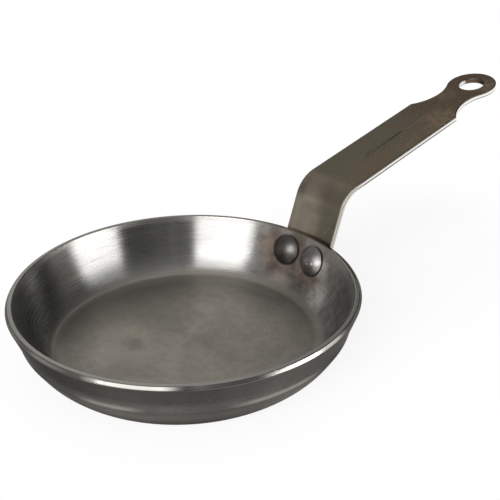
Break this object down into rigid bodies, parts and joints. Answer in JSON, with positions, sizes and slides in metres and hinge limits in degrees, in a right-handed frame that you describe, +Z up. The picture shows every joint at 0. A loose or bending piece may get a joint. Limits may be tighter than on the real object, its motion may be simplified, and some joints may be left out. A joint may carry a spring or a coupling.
{
  "type": "blini pan",
  "caption": "Small round steel pan with a flared wall and flat floor, riveted to a bent strip handle that ends in a round hanging eye; fries small pancakes.",
  "frame": {"origin": "centre of the base's underside, where the pan rests", "axes": "+X out along the handle, +Y to the left of the handle seen from the pan, +Z up out of the pan"},
  "size_m": [0.2252, 0.12, 0.0638],
  "materials": {
    "pan_steel": "bare sheet steel, brushed round and round, with faint heat tint",
    "handle_steel": "dark browned steel strip with bright cut edges",
    "rivet_steel": "dull bare steel"
  },
  "bodies": {
    "root": {"pan_body": "pan_steel", "handle": "handle_steel", "rivet_left": "rivet_steel", "rivet_right": "rivet_steel"}
  },
  "joints": []
}
